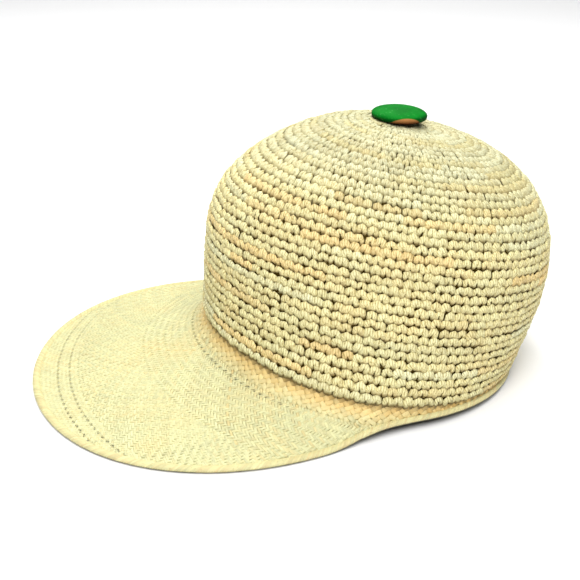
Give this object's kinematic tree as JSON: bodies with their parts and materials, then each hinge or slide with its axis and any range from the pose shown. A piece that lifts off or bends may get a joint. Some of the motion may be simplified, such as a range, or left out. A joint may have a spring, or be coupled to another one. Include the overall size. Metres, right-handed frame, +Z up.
{
  "type": "straw cap",
  "caption": "Straw baseball-style cap: domed crocheted crown, finely woven peak and band with a finished edge, and a green button on top.",
  "frame": {"origin": "On the surface the cap rests on, under the middle of its outline box.", "axes": "+Z up, the peak points to -Y, +X is the wearer's left, left and right are mirror images."},
  "size_m": [0.2332, 0.2998, 0.1491],
  "materials": {
    "crochet_straw": "natural palm straw in crochet rounds, matt with a faint sheen",
    "woven_straw": "finely woven natural straw, matt with a faint sheen",
    "edge_straw": "straw worked back into a firm edge",
    "green_button": "slice of hard nut, dyed green and polished, its skin left tan below",
    "straw_thread": "twisted straw thread"
  },
  "bodies": {
    "root": {"crown": "crochet_straw", "peak_and_band": "woven_straw", "edge_braid": "edge_straw", "button": "green_button", "button_thread": "straw_thread"}
  },
  "joints": []
}
